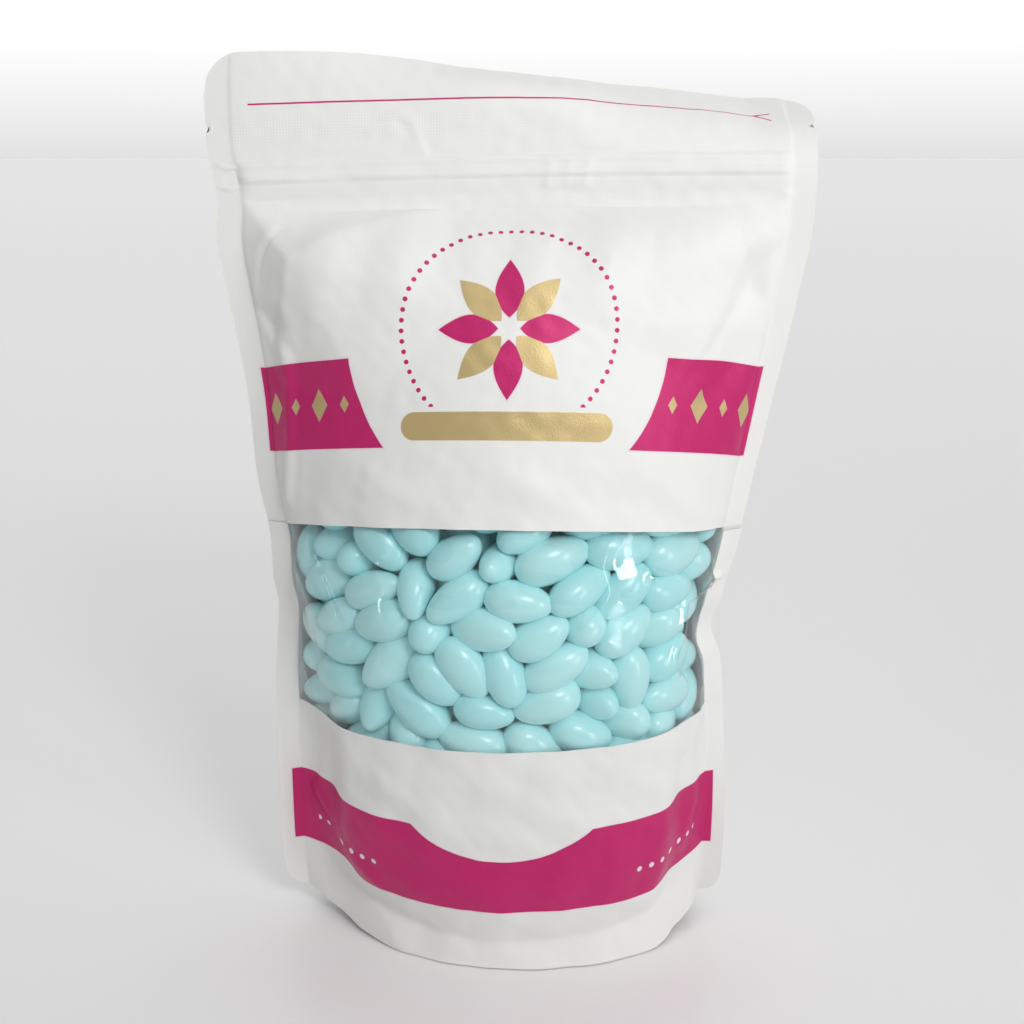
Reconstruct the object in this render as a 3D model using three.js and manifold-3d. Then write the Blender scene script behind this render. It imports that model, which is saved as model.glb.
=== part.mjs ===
// A filled stand-up pouch of sugared almonds, closed, standing on its opened bottom gusset.
// Millimetres, +Z up, front towards -Y. The origin is on the surface, under the middle of the pouch.
//
// A panel of the pouch is described flat first: u runs across it, from side edge to side edge, and v
// runs up it from the bottom edge. Each flat point is then placed in space. Film does not stretch, so
// a level of the pouch gets narrower as its panels bulge.
import * as THREE from 'three';
import { mergeVertices } from 'three/addons/utils/BufferGeometryUtils.js';
import Module from 'manifold-3d';

// Driving dimensions of the flat pouch
const WIDTH = 190;
const HEIGHT = 311;
const SIDE_SEAL = 8;
const SHEET = 0.8;
const WALL = 0.8;
const TOP_CORNER = 12;
const BOTTOM_CORNER = 8;
const GAP = 0.3;

// Levels on the flat panel, from the bottom edge
const WINDOW_LOW = 81.5;
const WINDOW_HIGH = 156;
const FILL_LEVEL = 168;
const BULGE_TOP = 262;
const ZIP_LEVEL = 273.2;
const NOTCH_LEVEL = 288.5;
const FLOOR_THICKNESS = 3.2;
const REST_TRIM = 0.4;
const SKIRT_GROOVE = 2.2;

// Zip strip and its interlocking ridge, and the tear notches
const ZIP_STRIP_WIDTH = 10.6;
const ZIP_STRIP_RISE = 0.5;
const ZIP_RIDGE_WIDTH = 2.6;
const ZIP_RIDGE_RISE = 0.7;
const ZIP_END = 84;
const NOTCH_DEPTH = 2;
const NOTCH_HEIGHT = 3;

// Sugared almonds
const ALMOND_LENGTH = 22.4;
const ALMOND_WIDTH = 13.9;
const ALMOND_THICKNESS = 12.4;
const ALMOND_TAPER = 0.16;
const ALMOND_SIDES = 6;
const ALMOND_RINGS = 4;
const CORE_INSET = 11.5;
const FILM = 0.5;

const HALF_WIDTH = WIDTH / 2;
const HALF_PANEL = HALF_WIDTH - SIDE_SEAL;
const HALF_SHEET = SHEET / 2;
const HOLLOW_REACH = HALF_PANEL - 5.5;

const wasm = await Module();
wasm.setup();

// Small numeric helpers
const clamp = (value, low, high) => Math.min(Math.max(value, low), high);

function smoothStep(from, to, value) {
  const t = clamp((value - from) / (to - from), 0, 1);
  return t * t * (3 - 2 * t);
}

function bump(centre, reach, value) {
  const t = clamp(Math.abs(value - centre) / reach, 0, 1);
  return (1 - t * t) ** 2;
}

// A smooth curve through [station, value] pairs, flat beyond its ends
function profile(pairs) {
  const slope = (k) => {
    const before = pairs[Math.max(k - 1, 0)];
    const after = pairs[Math.min(k + 1, pairs.length - 1)];
    return (after[1] - before[1]) / (after[0] - before[0]);
  };
  return (at) => {
    if (at <= pairs[0][0]) return pairs[0][1];
    if (at >= pairs[pairs.length - 1][0]) return pairs[pairs.length - 1][1];
    const k = pairs.findIndex((pair) => pair[0] > at) - 1;
    const [from, low] = pairs[k];
    const [to, high] = pairs[k + 1];
    const span = to - from;
    const t = (at - from) / span;
    const t2 = t * t;
    const t3 = t2 * t;
    return (2 * t3 - 3 * t2 + 1) * low + (t3 - 2 * t2 + t) * span * slope(k)
      + (3 * t2 - 2 * t3) * high + (t3 - t2) * span * slope(k + 1);
  };
}

// A seeded random number from 0 to 1
function makeRandom(seed) {
  let state = seed;
  return () => {
    state = (state * 16807) % 2147483647;
    return state / 2147483647;
  };
}

// How far each panel bulges, how slowly the bulge fades towards the left and right seam, how the levels
// lie sideways and tilt, by flat level
const bulgeAt = profile([[0, 40.5], [30, 38.7], [60, 38.5], [90, 39.8], [120, 42.4], [150, 38.6],
  [180, 34.4], [210, 28.2], [240, 17], [BULGE_TOP, 0]]);
const fadeAt = {
  left: profile([[0, 0.96], [50, 0.73], [110, 0.7], [BULGE_TOP, 1]]),
  right: profile([[0, 0.5], [50, 0.53], [110, 0.55], [BULGE_TOP, 1]]),
};
const sidewaysAt = profile([[0, -0.5], [60, -2], [110, -2.7], [160, -1.8], [210, 0], [ZIP_LEVEL, 0.5]]);
const tiltAt = profile([[0, 0], [83, 0.1], [157, -0.9], [211, 0.6], [ZIP_LEVEL, 1.8], [HEIGHT, 1.2]]);

// How far the side seals turn backwards, in degrees, by flat level
const sealTurnAt = {
  left: profile([[0, -6], [60, -22], [130, 21], [255, 0]]),
  right: profile([[0, -13], [60, 20], [130, 36], [255, 0]]),
};

// The left seam waves sideways
const leftWaveAt = profile([[120, 0], [130, -0.9], [142, 0.2], [152, 0.9], [165, -0.5], [175, -0.9],
  [200, 0], [240, 0.2], [253, 0.5], [266, 1.6], [276, 0.3], [284, -1.2], [HEIGHT, -1.3]]);

// One side of a level: its half chord is found so that the bulged half panel keeps its flat length
function solveLevel(v, hand) {
  const bulge = Math.max(bulgeAt(v), 0.02);
  const power = 2 * fadeAt[hand](v);
  const steps = 48;
  const trace = (chord) => {
    const points = [[0, bulge, 0]];
    for (let k = 1; k <= steps; k += 1) {
      const angle = (k / steps) * (Math.PI / 2);
      const x = chord * Math.sin(angle);
      const y = bulge * Math.max(Math.cos(angle), 0) ** power;
      const [lastX, lastY, length] = points[k - 1];
      points.push([x, y, length + Math.hypot(x - lastX, y - lastY)]);
    }
    return points;
  };
  let low = HALF_PANEL / 2;
  let high = HALF_PANEL;
  for (let k = 0; k < 30; k += 1) {
    const chord = (low + high) / 2;
    if (trace(chord)[steps][2] > HALF_PANEL) high = chord;
    else low = chord;
  }
  return { bulge, power, chord: low, points: trace(low) };
}

const levelCache = { left: new Map(), right: new Map() };
function levelAt(v, u) {
  const hand = u < 0 ? 'left' : 'right';
  const key = Math.round(v * 10);
  if (!levelCache[hand].has(key)) levelCache[hand].set(key, solveLevel(key / 10, hand));
  return levelCache[hand].get(key);
}

// Height of the middle of a panel: its flat length is used up where it runs in or out
const middleHeights = [0];
for (let v = 1; v <= BULGE_TOP; v += 1) {
  const run = bulgeAt(v) - bulgeAt(v - 1);
  middleHeights.push(middleHeights[v - 1] + Math.sqrt(Math.max(1 - run * run, 0.04)));
}
const SEAM_CRUMPLE = BULGE_TOP - middleHeights[BULGE_TOP];

// The middle of the panels stands a little higher than its seams
const crownAt = profile([[0, 0], [54, -0.2], [90, 0.4], [157, 0.8], [BULGE_TOP, 0.9]]);

function middleHeight(v) {
  const k = clamp(Math.floor(v), 0, BULGE_TOP - 1);
  return middleHeights[k] + (v - k) * (middleHeights[k + 1] - middleHeights[k]) + crownAt(v);
}

// The side seams stand off the surface, and crumple at the waist, which takes up the same length
const seamDropAt = profile([[0, -8.8], [50, -3.7], [90, -0.8], [120, 1.5], [150, 9.2], [211, 9.3],
  [BULGE_TOP, SEAM_CRUMPLE]]);
const seamHeight = (v) => v - seamDropAt(v);

// How far the flap above the zip curls back, in degrees from upright: hardly at its left end, and along
// an ever lower fold towards its right end
const flapRest = 4.8;
const flapCurlAt = profile([[-85, 0], [-72, 6.3], [-59, 18], [-46, 32], [-33, 47], [-20, 59], [3, 67],
  [33, 62], [75, 63]]);
const foldStartAt = profile([[-40, 291], [3, 290.5], [33, 275.5], [75, 270]]);
const foldEndAt = profile([[-40, 310], [3, 305], [33, 304], [75, 296.5]]);
const flapLean = (u, v) => (
  flapRest * smoothStep(BULGE_TOP, BULGE_TOP + 12, v)
  + flapCurlAt(u) * smoothStep(foldStartAt(u), foldEndAt(u), v));

function flapOffset(u, v) {
  const steps = Math.max(1, Math.ceil((v - BULGE_TOP) / 1.5));
  const step = (v - BULGE_TOP) / steps;
  let back = 0;
  let up = 0;
  for (let k = 0; k < steps; k += 1) {
    const lean = THREE.MathUtils.degToRad(flapLean(u, BULGE_TOP + (k + 0.5) * step));
    back += step * Math.sin(lean);
    up += step * Math.cos(lean);
  }
  return { back, up, lean: THREE.MathUtils.degToRad(flapLean(u, v)) };
}

// Dents of the front panel: a triangle hangs from each end of the zip, and the film folds at the waist
function frontDent(u, v) {
  const side = u < 0 ? -1 : 1;
  const reach = Math.abs(u);
  const depth = side < 0 ? 5 : 4;
  const below = BULGE_TOP - 2 - v;
  const hang = smoothStep(0, 14, below) * (1 - smoothStep(34, 78, below));
  const middle = 78 - 0.16 * Math.max(below, 0);
  return depth * hang * bump(middle, 15, reach);
}

// The left seam waves sideways, and the right seam has a sharp kink at the waist
const seamShift = (u, v) => (u < 0
  ? leftWaveAt(v) * smoothStep(60, HALF_PANEL, -u)
  : -2.8 * bump(111, 13, v) * smoothStep(70, HALF_PANEL, u));

// Half the thickness of the two sealed sheets, with the zip's strip and ridge
function halfThickness(u, v) {
  if (Math.abs(u) > ZIP_END) return HALF_SHEET;
  const off = Math.abs(v - ZIP_LEVEL);
  const strip = off <= ZIP_STRIP_WIDTH / 2 ? ZIP_STRIP_RISE : 0;
  const ridge = off <= ZIP_RIDGE_WIDTH / 2 ? ZIP_RIDGE_RISE : 0;
  return HALF_SHEET + strip + ridge;
}

// How much of the height between seam and middle a point has, from its share of the bulge. Low down the
// panels rest on the surface almost out to their seams.
function liftShare(share, v) {
  return 1 - (1 - share) ** (1 + 1.5 * (1 - smoothStep(0, 80, v)));
}

// Where a flat point of the front (side -1) or back (side 1) panel is in space
function place(u, v, side, inset = 0) {
  const low = Math.min(v, BULGE_TOP);
  const hand = u < 0 ? 'left' : 'right';
  const level = levelAt(low, u);
  const reach = Math.min(Math.abs(u), HALF_PANEL);
  const seal = Math.abs(u) - reach;
  const turn = seal > 0 ? THREE.MathUtils.degToRad(sealTurnAt[hand](v)) : 0;
  let k = 1;
  while (k < level.points.length - 1 && level.points[k][2] < reach) k += 1;
  const [x0, y0, length0] = level.points[k - 1];
  const [x1, y1, length1] = level.points[k];
  const t = clamp((reach - length0) / (length1 - length0), 0, 1);
  const across = x0 + t * (x1 - x0) + seal * Math.cos(turn);
  const out = v < BULGE_TOP ? y0 + t * (y1 - y0) : 0;
  let x = sidewaysAt(v) + Math.sign(u) * across + seamShift(u, v);
  let y = side * out + seal * Math.sin(turn);
  let z = seamHeight(low) + (tiltAt(v) * u) / HALF_WIDTH;
  let lean = 0;
  if (v < BULGE_TOP) {
    z += (middleHeight(low) - seamHeight(low)) * liftShare(out / level.bulge, v);
  } else {
    const flap = flapOffset(u, v);
    y += flap.back;
    z += flap.up + crownAt(low) * (1 - (reach / HALF_PANEL) ** 2);
    lean = flap.lean;
  }
  if (side < 0) y += Math.min(frontDent(u, v), Math.max(out - 1.5, 0));
  const half = side * (halfThickness(u, v) - inset);
  x -= half * Math.sin(turn) * Math.sign(u);
  y += half * Math.cos(lean) * Math.cos(turn);
  z -= half * Math.sin(lean);
  return new THREE.Vector3(x, y, Math.max(z - REST_TRIM, 0));
}

// Turns a three.js geometry into a solid for cutting and joining, and back
function toSolid(geometry) {
  const bare = geometry.clone();
  bare.deleteAttribute('normal');
  bare.deleteAttribute('uv');
  const merged = mergeVertices(bare, 1e-4);
  const mesh = new wasm.Mesh({
    numProp: 3,
    vertProperties: new Float32Array(merged.attributes.position.array),
    triVerts: new Uint32Array(merged.index.array),
  });
  mesh.merge();
  return new wasm.Manifold(mesh);
}

function toGeometry(solid) {
  const mesh = solid.getMesh();
  const geometry = new THREE.BufferGeometry();
  geometry.setAttribute('position', new THREE.BufferAttribute(new Float32Array(mesh.vertProperties), 3));
  geometry.setIndex(new THREE.BufferAttribute(new Uint32Array(mesh.triVerts), 1));
  geometry.computeVertexNormals();
  return geometry;
}

// A closed slab: a box whose grid of columns and rows is moved by a function of (column, row, front)
function slab(columns, rows, move) {
  const across = columns.length - 1;
  const up = rows.length - 1;
  const geometry = new THREE.BoxGeometry(1, 1, 1, across, up, 1);
  const position = geometry.attributes.position;
  for (let k = 0; k < position.count; k += 1) {
    const column = columns[Math.round((position.getX(k) + 0.5) * across)];
    const row = rows[Math.round((position.getY(k) + 0.5) * up)];
    const point = move(column, row, position.getZ(k) > 0);
    position.setXYZ(k, point.x, point.y, point.z);
  }
  return toSolid(geometry);
}

function spread(from, to, count) {
  return Array.from({ length: count + 1 }, (_, k) => from + ((to - from) * k) / count);
}

// The panels' outline has round corners: a row is pulled in towards the corner's arc
function roundCorner(u, v) {
  const inLow = Math.max(Math.abs(u) - (HALF_WIDTH - BOTTOM_CORNER), 0);
  const inHigh = Math.max(Math.abs(u) - (HALF_WIDTH - TOP_CORNER), 0);
  const low = BOTTOM_CORNER - Math.sqrt(BOTTOM_CORNER ** 2 - inLow ** 2);
  const high = HEIGHT - TOP_CORNER + Math.sqrt(TOP_CORNER ** 2 - inHigh ** 2);
  if (v < 24) return low + (v * (24 - low)) / 24;
  if (v > 280) return 280 + ((v - 280) * (high - 280)) / (HEIGHT - 280);
  return v;
}

// The outer form of the whole pouch, filled solid, with its flat underside
function outerForm() {
  const edge = [HALF_PANEL, 89, 91, 93, HALF_WIDTH - 0.6, HALF_WIDTH];
  const half = [9, 18, 27, 36, 45, 53, 61, 68, 74.5, 80, 84, ...edge];
  const columns = [...half.map((u) => -u).reverse(), 0, ...half];
  const strip = ZIP_STRIP_WIDTH / 2;
  const ridge = ZIP_RIDGE_WIDTH / 2;
  const zip = [-strip - 0.4, -strip, -ridge - 0.4, -ridge, ridge, ridge + 0.4, strip, strip + 0.4];
  const rows = [
    0, 3, ...spread(8, 250, 20), 257, BULGE_TOP,
    ...zip.map((off) => ZIP_LEVEL + off),
    280, 284, 288, 291, 294, 297, 300, 304, HEIGHT,
  ];
  return slab(columns, rows, (u, v, front) => place(u, roundCorner(u, v), front ? -1 : 1));
}

// The hollow that the almonds fill
function innerForm() {
  const half = [13, 26, 39, 51, 62, 70, 76, HOLLOW_REACH];
  const columns = [...half.map((u) => -u).reverse(), 0, ...half];
  const rows = [4, ...spread(12, 228, 14), 242];
  return slab(columns, rows, (u, v, front) => {
    const point = place(u, v, front ? -1 : 1, WALL + 0.6);
    const side = front ? -1 : 1;
    point.y = side * Math.max(side * point.y, 0.15);
    point.z = Math.max(point.z, FLOOR_THICKNESS);
    return point;
  });
}

// The window film's grid, which what is cut round it shares
const FILM_REACH = HOLLOW_REACH - 1 - GAP;
const FILM_COLUMNS = spread(-FILM_REACH, FILM_REACH, 16);
const FILM_ROWS = spread(WINDOW_LOW + GAP, WINDOW_HIGH - GAP, 7);

// A patch of the front panel between two depths, with a margin round the window film
function frontPatch(margin, outside, inside) {
  const reach = FILM_REACH + margin;
  const low = WINDOW_LOW + GAP - margin;
  const high = WINDOW_HIGH - GAP + margin;
  const columns = margin ? [-reach, ...FILM_COLUMNS, reach] : FILM_COLUMNS;
  const rows = margin ? [low, ...FILM_ROWS, high] : FILM_ROWS;
  return slab(columns, rows, (u, v, front) => {
    const point = place(u, v, -1, front ? outside : inside);
    if (!front) point.y = Math.min(point.y, -HALF_SHEET);
    return point;
  });
}

// A V notch in a side edge, to start the tear
function notch(side) {
  const shape = new THREE.Shape([
    new THREE.Vector2(0, -NOTCH_HEIGHT / 2),
    new THREE.Vector2(NOTCH_DEPTH, 0),
    new THREE.Vector2(0, NOTCH_HEIGHT / 2),
    new THREE.Vector2(-NOTCH_DEPTH, NOTCH_HEIGHT),
    new THREE.Vector2(-NOTCH_DEPTH, -NOTCH_HEIGHT),
  ]);
  const geometry = new THREE.ExtrudeGeometry(shape, { depth: 12, bevelEnabled: false });
  const at = place(side * HALF_WIDTH, NOTCH_LEVEL, -1);
  geometry.translate(0, 0, -6);
  if (side > 0) geometry.rotateZ(Math.PI);
  geometry.rotateX(Math.PI / 2 - (side > 0 ? 0.9 : 0));
  geometry.translate(at.x, at.y, at.z);
  return toSolid(geometry);
}

// The groove under the pouch, between the skirt's rim and the gusset that bears on the surface
function skirtGroove() {
  const rim = [];
  for (const side of [-1, 1]) {
    for (let k = 0; k < 24; k += 1) {
      const u = side * (-HALF_PANEL + (2 * HALF_PANEL * (k + 0.5)) / 24);
      const at = place(u, 0, side);
      rim.push(new THREE.Vector2(at.x, at.y));
    }
  }
  const centre = sidewaysAt(0);
  const disc = (share, depth, low) => {
    const outline = rim.map((p) => new THREE.Vector2(centre + (p.x - centre) * share, p.y * share));
    const geometry = new THREE.ExtrudeGeometry(new THREE.Shape(outline), { depth, bevelEnabled: false });
    geometry.translate(0, 0, low);
    return toSolid(geometry);
  };
  return disc(0.955, SKIRT_GROOVE + 1, -1).subtract(disc(0.82, SKIRT_GROOVE + 3, -2));
}

function makePouch() {
  const shell = outerForm()
    .subtract(innerForm())
    .subtract(frontPatch(GAP, -2, 3))
    .subtract(skirtGroove())
    .subtract(notch(-1))
    .subtract(notch(1));
  return toGeometry(shell);
}

function makeWindowFilm() {
  return toGeometry(frontPatch(0, 0, FILM));
}

// Packing of the almonds. Each one is a stick of two points, with three balls along it. Overlaps are
// pushed apart, the panels hold the balls in, and all sink a little on each pass.
const STICK = 10.2;
const BALLS = [{ share: 0, radius: 5.8 }, { share: 0.5, radius: 6.4 }, { share: 1, radius: 5.5 }];
const WALL_CLEARANCE = 1.6;

// The flat level of a height, near enough for the packing
function levelOfHeight(z) {
  return z < 83 ? z : z * (BULGE_TOP / (BULGE_TOP - SEAM_CRUMPLE));
}

// Moves a ball back inside the pouch, and returns the correction
function keepInside(ball, radius) {
  const v = clamp(levelOfHeight(ball.z), 0, BULGE_TOP - 4);
  const level = levelAt(v, ball.x);
  const x = ball.x - sidewaysAt(v);
  const q = Math.min((x / level.chord) ** 2, 0.96);
  const n = level.power / 2;
  const surface = level.bulge * (1 - q) ** n;
  const slopeX = (2 * n * level.bulge * x * (1 - q) ** (n - 1)) / level.chord ** 2;
  const slopeZ = (bulgeAt(v) - bulgeAt(v + 2)) / 2;
  const normal = new THREE.Vector3(slopeX, Math.sign(ball.y || 1), slopeZ * (1 - q) ** n);
  const size = normal.length();
  const excess = (Math.abs(ball.y) - surface) / size + radius + WALL_CLEARANCE;
  const move = new THREE.Vector3();
  if (excess > 0) move.addScaledVector(normal, -excess / size);
  const low = radius + FLOOR_THICKNESS + GAP;
  if (ball.z < low) move.z += low - ball.z;
  return move;
}

function startAlmonds(random) {
  const almonds = [];
  for (let z = 11; z < 195; z += 11.8) {
    for (let y = -36; y <= 36; y += 12) {
      for (let x = -66.5; x <= 66.5; x += 19) {
        const level = levelAt(clamp(levelOfHeight(z), 0, BULGE_TOP - 4), x);
        const inside = 1 - (x / (level.chord - 4)) ** 2;
        if (inside > 0 && Math.abs(y) < (level.bulge - 4) * inside ** 0.7) {
          const turn = (random() - 0.5) * 2.2 + (random() < 0.2 ? 1.2 : 0);
          const tilt = (random() - 0.5) * 1.3;
          const axis = new THREE.Vector3(
            Math.cos(turn) * Math.cos(tilt), Math.sin(tilt), Math.sin(turn) * Math.cos(tilt));
          if (random() < 0.5) axis.negate();
          const centre = new THREE.Vector3(
            x + 7 * (random() - 0.5), y + 4 * (random() - 0.5), z + 5 * (random() - 0.5));
          almonds.push({
            ends: [
              centre.clone().addScaledVector(axis, -STICK / 2),
              centre.clone().addScaledVector(axis, STICK / 2),
            ],
          });
        }
      }
    }
  }
  return almonds;
}

function pushApart(first, second) {
  for (const one of BALLS) {
    for (const other of BALLS) {
      const a = first.ends[0].clone().lerp(first.ends[1], one.share);
      const b = second.ends[0].clone().lerp(second.ends[1], other.share);
      const apart = b.sub(a);
      const distance = Math.max(apart.length(), 1e-3);
      const overlap = one.radius + other.radius - distance;
      if (overlap > 0) {
        apart.multiplyScalar(overlap / (2 * distance));
        first.ends[0].addScaledVector(apart, -(1 - one.share) * 1.2);
        first.ends[1].addScaledVector(apart, -one.share * 1.2);
        second.ends[0].addScaledVector(apart, (1 - other.share) * 1.2);
        second.ends[1].addScaledVector(apart, other.share * 1.2);
      }
    }
  }
}

function settleAlmonds() {
  const almonds = startAlmonds(makeRandom(20011));
  const passes = 160;
  const near = STICK + 13;
  for (let pass = 0; pass < passes; pass += 1) {
    const sink = pass < passes * 0.85 ? 0.35 : 0;
    for (const almond of almonds) {
      almond.ends[0].z -= sink;
      almond.ends[1].z -= sink;
    }
    almonds.sort((a, b) => a.ends[0].z - b.ends[0].z);
    for (let i = 0; i < almonds.length; i += 1) {
      for (let j = i + 1; j < almonds.length; j += 1) {
        if (almonds[j].ends[0].z - almonds[i].ends[0].z > near) break;
        if (almonds[i].ends[0].distanceToSquared(almonds[j].ends[0]) < near * near) {
          pushApart(almonds[i], almonds[j]);
        }
      }
    }
    for (const almond of almonds) {
      const [p, q] = almond.ends;
      for (const ball of BALLS) {
        const move = keepInside(p.clone().lerp(q, ball.share), ball.radius);
        p.addScaledVector(move, Math.min(2 * (1 - ball.share), 1));
        q.addScaledVector(move, Math.min(2 * ball.share, 1));
      }
      const along = q.clone().sub(p);
      const fix = (along.length() - STICK) / (2 * along.length());
      p.addScaledVector(along, fix);
      q.addScaledVector(along, -fix);
    }
  }
  return almonds;
}

// How deep a point lies behind the front panel
function depthBehindFront(point) {
  const level = levelAt(clamp(levelOfHeight(point.z), 0, BULGE_TOP - 4), point.x);
  const x = point.x - sidewaysAt(levelOfHeight(point.z));
  const q = Math.min((x / level.chord) ** 2, 1);
  return point.y + level.bulge * (1 - q) ** (level.power / 2);
}

// One sugared almond, broader at one end, flattened a little, turned to lie along its stick
function almondSolid(almond, random) {
  const geometry = new THREE.SphereGeometry(1, ALMOND_SIDES, ALMOND_RINGS);
  const position = geometry.attributes.position;
  const size = 0.96 + 0.08 * random();
  for (let k = 0; k < position.count; k += 1) {
    const along = position.getY(k);
    const girth = 1 - ALMOND_TAPER * along;
    position.setXYZ(
      k,
      (size * girth * position.getX(k) * ALMOND_THICKNESS) / 2,
      (size * along * ALMOND_LENGTH) / 2,
      (size * girth * position.getZ(k) * ALMOND_WIDTH) / 2,
    );
  }
  const [p, q] = almond.ends;
  const axis = q.clone().sub(p).normalize();
  const turn = new THREE.Quaternion().setFromUnitVectors(new THREE.Vector3(0, 1, 0), axis);
  geometry.applyQuaternion(turn);
  const centre = p.clone().lerp(q, 0.5);
  geometry.translate(centre.x, centre.y, centre.z);
  return toSolid(geometry);
}

// The heap: a core that stops short of the panels, and the almonds that show through the window
function makeAlmonds() {
  const random = makeRandom(907);
  const columns = spread(-62, 62, 12);
  const rows = spread(14, FILL_LEVEL - 6, 12);
  const core = slab(columns, rows, (u, v, front) => {
    const side = front ? -1 : 1;
    const point = place(u, v, side, 0);
    point.y = side * Math.max(side * point.y - CORE_INSET, 0.5);
    return point;
  });
  const lowest = seamHeight(WINDOW_LOW) - 5;
  const highest = middleHeight(WINDOW_HIGH) + 3;
  const shown = settleAlmonds().filter((almond) => {
    const centre = almond.ends[0].clone().lerp(almond.ends[1], 0.5);
    return centre.z > lowest && centre.z < highest && depthBehindFront(centre) < 24;
  });
  const heap = shown.reduce((solid, almond) => solid.add(almondSolid(almond, random)), core);
  const bodies = heap.decompose().sort((a, b) => b.volume() - a.volume());
  const trimmed = bodies[0].intersect(innerForm());
  const clear = trimmed.subtract(frontPatch(4, -2, FILM + 2 * GAP));
  return toGeometry(clear.decompose().sort((a, b) => b.volume() - a.volume())[0]);
}

const paper = new THREE.MeshStandardMaterial({ color: 0xeeeeeb, roughness: 0.7, metalness: 0 });
const clearFilm = new THREE.MeshStandardMaterial({
  color: 0xf4f8fa, roughness: 0.08, metalness: 0, transparent: true, opacity: 0.3,
});
const sugar = new THREE.MeshStandardMaterial({ color: 0xa9dfe8, roughness: 0.4, metalness: 0 });

function namedMesh(name, geometry, material) {
  const mesh = new THREE.Mesh(geometry, material);
  mesh.name = name;
  return mesh;
}

const pouchOfAlmonds = new THREE.Group();
pouchOfAlmonds.add(namedMesh('pouch', makePouch(), paper));
pouchOfAlmonds.add(namedMesh('window_film', makeWindowFilm(), clearFilm));
pouchOfAlmonds.add(namedMesh('almonds', makeAlmonds(), sugar));

// The origin is under the middle of the whole part
const middle = new THREE.Box3().setFromObject(pouchOfAlmonds).getCenter(new THREE.Vector3());
for (const piece of pouchOfAlmonds.children) {
  piece.position.set(-middle.x, -middle.y, 0);
}

export default pouchOfAlmonds;
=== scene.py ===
# A filled stand-up pouch of sugared almonds on a pale floor, seen from the front and a little above.
# A panel of the pouch is described flat, in millimetres: u runs across it from its middle, and v runs up
# it from the bottom edge. The meshes are made in metres.
import math
from functools import partialmethod

import bpy
import numpy as np
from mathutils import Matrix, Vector


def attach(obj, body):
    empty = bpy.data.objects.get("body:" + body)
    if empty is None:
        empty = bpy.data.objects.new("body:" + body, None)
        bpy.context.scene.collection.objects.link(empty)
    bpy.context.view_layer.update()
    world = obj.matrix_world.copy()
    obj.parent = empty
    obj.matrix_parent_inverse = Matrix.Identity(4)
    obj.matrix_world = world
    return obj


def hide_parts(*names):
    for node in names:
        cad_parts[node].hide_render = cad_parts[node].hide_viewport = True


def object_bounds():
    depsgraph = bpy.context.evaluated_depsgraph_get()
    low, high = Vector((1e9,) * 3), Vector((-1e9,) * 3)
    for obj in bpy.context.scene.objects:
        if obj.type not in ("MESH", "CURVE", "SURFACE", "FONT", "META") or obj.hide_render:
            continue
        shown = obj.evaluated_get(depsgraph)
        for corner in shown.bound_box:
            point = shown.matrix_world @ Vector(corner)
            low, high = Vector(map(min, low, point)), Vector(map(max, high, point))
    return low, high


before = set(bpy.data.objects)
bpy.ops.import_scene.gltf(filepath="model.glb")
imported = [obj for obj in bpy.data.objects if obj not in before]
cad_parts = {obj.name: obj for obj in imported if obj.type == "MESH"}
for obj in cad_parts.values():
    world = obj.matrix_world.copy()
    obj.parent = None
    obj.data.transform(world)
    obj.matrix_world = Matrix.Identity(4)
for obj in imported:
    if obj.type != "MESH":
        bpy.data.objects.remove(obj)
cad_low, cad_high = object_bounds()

MM = 0.001

# Flat pouch
WIDTH = 190.0
HEIGHT = 311.0
SIDE_SEAL = 8.0
HALF_SHEET = 0.4
SEAM_GAP = 0.03
TOP_CORNER = 12.0
BOTTOM_CORNER = 8.0
HALF_WIDTH = WIDTH / 2
HALF_PANEL = HALF_WIDTH - SIDE_SEAL

# Levels on the flat panel
WINDOW_LOW = 81.5
WINDOW_HIGH = 156.0
WINDOW_RISE = 1.4
FILL_LEVEL = 168.0
BULGE_TOP = 262.0
ZIP_LEVEL = 273.2
NOTCH_LEVEL = 288.5

# Window film, and the strips of seal beside it, with the gap at their ends
FILM = 0.12
FILM_SINK = 0.1
SEAL_EDGE = 86.0
STRIP_LIFT = 0.05
STRIP_GAP = 0.05

# Zip and tear notches
ZIP_END = 86.0
NOTCH_DEPTH = 2.0
NOTCH_HEIGHT = 3.0

# Kink of the right side seam, and how far the front is drawn in below each end of the zip
KINK_LEVEL = 111.0
KINK_DEPTH = 2.8
WAIST_DENTS = (0.8, 3.0)

# Flap above the zip, in degrees from upright where it isn't curled back
FLAP_REST = 4.8

# Foot: the arc of its seal, how far the skirt is creased in, how far the gusset's rim is up the arc, how
# thick its sheet is, the stretch in which the panel leaves its seams gently, and how much the pouch is
# lowered onto the floor
SEAL_MIDDLE = 8.5
SEAL_CURVE = 0.0012
SKIRT_CREASE = 6.6
GUSSET_SHARE = 0.85
GUSSET_SHEET = 0.35
EASE_REACH = 34.0
REST_TRIM = 0.4

# Spacing of the mesh grids and of the tables that the panels are worked out from
FINE = 1.0
COARSE = 1.6
STEP = 0.5

# Sugared almonds
ALMOND_LENGTH = 23.4
ALMOND_WIDTH = 14.4
ALMOND_THICKNESS = 12.8
ALMOND_RINGS = 17
ALMOND_SIDES = 28
FILM_CLEARANCE = 0.5

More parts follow.
